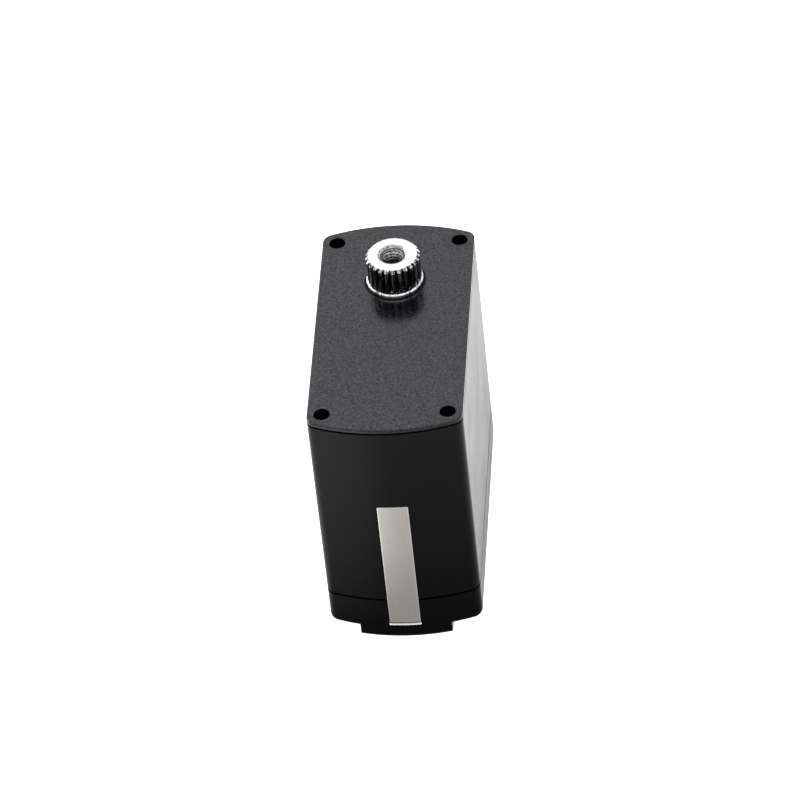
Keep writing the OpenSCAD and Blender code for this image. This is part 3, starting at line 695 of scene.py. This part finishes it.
def make_output_shaft():
    per_tooth = 20
    steps = TEETH * per_tooth
    turns = [2 * math.pi * i / steps for i in range(steps)]
    chamfer_r, chamfer_h = SPLINE_R - 0.36, 0.38
    mouth_r, mouth_h = HORN_HOLE_R + 0.46, 0.46
    thread_end = TIP_Z - 5.9
    lower_r, upper_r, shoulder_z = 2.5, 3.0, 27.55

    def at(turn, r, z):
        return (r * math.cos(turn), SHAFT_Y + r * math.sin(turn), z)

    def ring(r, z):
        return [at(t, r, z) for t in turns]

    def tip(t, share):
        """A point of the tip chamfer: each tooth meets the cone where its own radius does."""
        meet = max(tooth_radius(t) - chamfer_r, 0.0) / (SPLINE_R - chamfer_r)
        r = chamfer_r + (SPLINE_R - chamfer_r) * meet * share
        return at(t, min(r, tooth_radius(t)), TIP_Z - chamfer_h * meet * share)

    def thread(t, z):
        """Inner wall with a cut thread that fades in at the mouth and out at its end."""
        phase = (z / THREAD_PITCH - t / (2 * math.pi)) % 1.0
        crest = max(0.0, 1 - abs(phase - 0.5) / 0.42)
        fade = min(1.0, (TIP_Z - mouth_h - z) / 0.3 + 0.1, max(0.0, (z - thread_end) / 0.3))
        return HORN_HOLE_R - THREAD_DEPTH * min(crest, 0.85) * max(fade, 0.0)

    rings = [ring(lower_r - 0.4, SHAFT_LOW_Z), ring(lower_r - 0.04, SHAFT_LOW_Z + 0.05),
             ring(lower_r, SHAFT_LOW_Z + 0.12), ring(lower_r, shoulder_z), ring(upper_r - 0.05, shoulder_z + 0.05),
             ring(upper_r, shoulder_z + 0.1), ring(upper_r, SEAT_TOP_Z + 0.1),
             ring(SEAL_SHAFT_R, SEAT_TOP_Z + 0.12)]
    rings += [ring(SEAL_SHAFT_R, TOP_Z + 0.05), ring(COLLAR_R - 0.05, TOP_Z + 0.05), ring(COLLAR_R, TOP_Z + 0.1),
              ring(COLLAR_R, COLLAR_TOP_Z - 0.3)]
    for i in range(1, 9):
        t = math.pi / 2 * i / 8
        rings.append(ring(COLLAR_R - 0.2 * (1 - math.cos(t)), COLLAR_TOP_Z - 0.3 + 0.29 * math.sin(t)))
    rings += [ring(ROOT_R - 0.02, COLLAR_TOP_Z - 0.01)]
    flank_steps = 5
    flank_low = COLLAR_TOP_Z + 0.02
    for i in range(flank_steps + 1):
        share = i / flank_steps
        row = []
        for t in turns:
            top = tip(t, 1.0)[2]
            row.append(at(t, tooth_radius(t), flank_low + (top - 0.02 - flank_low) * share))
        rings.append(row)
    for share in (1.0, 0.75, 0.5, 0.25, 0.0):
        rings.append([tip(t, share) for t in turns])
    rings += [ring(chamfer_r - 0.06, TIP_Z), ring((chamfer_r + mouth_r) / 2, TIP_Z), ring(mouth_r + 0.06, TIP_Z),
              ring(mouth_r, TIP_Z - 0.01)]
    for i in range(1, 9):
        t = math.pi / 2 * i / 8
        rings.append(ring(mouth_r - 0.44 * math.sin(t), TIP_Z - 0.01 - (mouth_h - 0.03) * (1 - math.cos(t))))
    rows = 120
    for i in range(rows + 1):
        z = TIP_Z - mouth_h - (TIP_Z - mouth_h - thread_end) * i / rows
        rings.append([at(t, thread(t, z), z) for t in turns])
    rings += [ring(HORN_HOLE_R - 0.25, TIP_Z - 6.4), ring(0.3, TIP_Z - 6.5)]
    shaft = loft("output_spline_shaft", rings)
    piece(smooth(shaft, 40, False), "output", "spline_steel", spline_steel, "output_shaft")


# ---- Screws and connector ----

def make_case_screws():
    screws = []
    for x, y in CORNERS:
        head = revolve("screw", [(HEAD_R - 0.18, HEAD_Z), (HEAD_R - 0.06, HEAD_Z + 0.05), (HEAD_R, HEAD_Z + 0.16),
                                 (HEAD_R, HEAD_TOP_Z - 0.05), (HEAD_R - 0.06, HEAD_TOP_Z),
                                 (SCREW_R + 0.02, HEAD_TOP_Z), (SCREW_R, HEAD_TOP_Z + 0.05),
                                 (SCREW_R, SCREW_TIP_Z - 0.25), (0.5, SCREW_TIP_Z)], x, y)
        key = revolve("key", [(0.98, HEAD_Z - 0.5), (0.98, HEAD_Z), (0.85, HEAD_Z + 0.1), (0.85, HEAD_Z + 0.7),
                              (0.1, HEAD_Z + 0.95)], x, y, steps=6)
        screws.append(boolean(head, [key]))
    piece(smooth(join("corner_screws", screws), 35), "case", "screw_black", screw_black, "case_screws")


def make_connector():
    lo, hi = low("connector_socket"), high("connector_socket")
    size, middle = hi - lo, (lo + hi) / 2
    shell = block("lead_socket_shell", tuple(size), middle, 0.12)
    mouth_w, mouth_h, pin_x = 6.6, 2.2, 2
    mouth_z = lo.z + 0.5 + mouth_h / 2
    cavity = block("cavity", (mouth_w, 3.4, mouth_h), Vector((0, 18.2, mouth_z)), 0.1)
    chamfer = block("chamfer", (mouth_w + 0.4, 0.3, mouth_h + 0.4), Vector((0, hi.y + 0.03, mouth_z)), 0.14, 2)
    pin_low, pin_high = low("connector_pins"), high("connector_pins")
    half, z = 0.25, (pin_low.z + pin_high.z) / 2
    way_size = (2 * half + 0.06, 6, pin_high.z - pin_low.z + 0.06)
    ways = [block("way", way_size, Vector((x, 15, z))) for x in (-pin_x, 0, pin_x)]
    boolean(shell, [cavity, chamfer, *ways])
    piece(smooth(shell), "case", "socket_ivory", ivory, "connector_socket")
    sections = [(pin_low.y, 0.7), (pin_low.y + 0.3, 1.0), (pin_high.y - 0.4, 1.0), (pin_high.y, 0.45)]
    pins = []
    for x in (-pin_x, 0, pin_x):
        rings = [[(x + sx * half * s, y, z + sz * half * s) for sx, sz in ((-1, -1), (1, -1), (1, 1), (-1, 1))]
                 for y, s in sections]
        pins.append(loft("pin", rings))
    piece(smooth(join("lead_socket_pins", pins), 20), "case", "contact_gold", gold, "connector_pins")


# ---- Camera, floor and light ----

CAMERA_YAW, CAMERA_PITCH, CAMERA_ROLL = 7.337, 41.878, 6.427
CAMERA_DISTANCE = 777.16
CAMERA_LENS = 271.19
AIM_RIGHT, AIM_DOWN = -1.087, -9.589


def make_camera():
    """Camera that looks at the middle of the top face from the front and a little to the right."""
    a, e, r = (math.radians(v) for v in (CAMERA_YAW, CAMERA_PITCH, CAMERA_ROLL))
    back = Vector((math.sin(a) * math.cos(e), -math.cos(a) * math.cos(e), math.sin(e)))
    level = Vector((math.cos(a), math.sin(a), 0))
    up = back.cross(level)
    right = math.cos(r) * level - math.sin(r) * up
    upward = math.sin(r) * level + math.cos(r) * up
    target = Vector((0, 0, TOP_Z)) - right * AIM_RIGHT + upward * AIM_DOWN
    data = bpy.data.cameras.new("camera")
    data.sensor_width = 36
    data.lens = CAMERA_LENS
    data.clip_start, data.clip_end = 0.01, 20
    camera = bpy.data.objects.new("camera", data)
    bpy.context.scene.collection.objects.link(camera)
    turn = Matrix((right, upward, back)).transposed()
    camera.matrix_world = Matrix.Translation((target + back * CAMERA_DISTANCE) * MM) @ turn.to_4x4()
    bpy.context.scene.camera = camera


# Glow of the floor, and its patches: middle and half size in mm, full share of the size, and added glow.
GLOW = 1.08
# Painted light: each patch adds glow in a soft pool on the floor.
GLOW_PATCHES = [((14, -8), (24, 29), 0.7, 0.2), ((-24, -36), (24, 36), 0.4, 1.6)]


def make_floor():
    """Plain floor that glows, like a light table, with two softly brighter patches of painted light beside the
    case, one to its right and one in front of it on the left.
    """
    bm = bmesh.new()
    bmesh.ops.create_grid(bm, x_segments=8, y_segments=8, size=2500)
    floor = new_object("floor", bm)
    material = finish("floor_white", (0.88, 0.88, 0.88), roughness=0.7, level=0.1, tone=0.01, patch=0.01,
                      grain=2.0, depth=0.001)
    tree = material.node_tree
    place = tree.nodes.new("ShaderNodeTexCoord").outputs["Object"]
    total = None
    for (x, y), (size_x, size_y), core, boost in GLOW_PATCHES:
        local = tree.nodes.new("ShaderNodeMapping")
        local.inputs["Location"].default_value = (-x / size_x, -y / size_y, 0)
        local.inputs["Scale"].default_value = (1 / (size_x * MM), 1 / (size_y * MM), 0)
        away = tree.nodes.new("ShaderNodeVectorMath")
        away.operation = "LENGTH"
        fade = tree.nodes.new("ShaderNodeMapRange")
        fade.interpolation_type = "SMOOTHSTEP"
        for key, value in (("From Min", core), ("From Max", 1.0), ("To Min", boost), ("To Max", 0.0)):
            fade.inputs[key].default_value = value
        tree.links.new(place, local.inputs["Vector"])
        tree.links.new(local.outputs["Vector"], away.inputs[0])
        tree.links.new(away.outputs["Value"], fade.inputs["Value"])
        added = tree.nodes.new("ShaderNodeMath")
        added.inputs[1].default_value = GLOW
        tree.links.new(fade.outputs["Result"], added.inputs[0])
        if total:
            tree.links.new(total, added.inputs[1])
        total = added.outputs["Value"]
    tree.links.new(total, tree.nodes["Principled BSDF"].inputs["Emission Strength"])
    floor.data.materials.append(material)


def area_light(name, place, target, size, power):
    """Rectangular lamp that faces a target. Places and size are in mm."""
    data = bpy.data.lights.new(name, "AREA")
    data.shape = "RECTANGLE"
    data.size, data.size_y = (v * MM for v in size)
    data.energy = power
    light = bpy.data.objects.new(name, data)
    bpy.context.scene.collection.objects.link(light)
    light.location = Vector(place) * MM
    light.rotation_euler = (Vector(target) - Vector(place)).to_track_quat("-Z", "Y").to_euler()


def make_light():
    """Even white surround and one large soft lamp, behind the object on the left."""
    world = bpy.data.worlds.new("studio")
    bpy.context.scene.world = world
    world.use_nodes = True
    surround = world.node_tree.nodes["Background"]
    surround.inputs["Color"].default_value = (1.0, 1.0, 1.0, 1.0)
    surround.inputs["Strength"].default_value = 1.2
    area_light("key", place=(-700, 750, 550), target=(0, 0, 10), size=(900, 900), power=6.0)
    bpy.context.scene.view_settings.view_transform = "Standard"


cad_finishes()
make_top_cover()
make_middle_case()
make_bottom_cover()
make_end_strip()
make_output_shaft()
make_case_screws()
make_connector()
make_camera()
make_floor()
make_light()
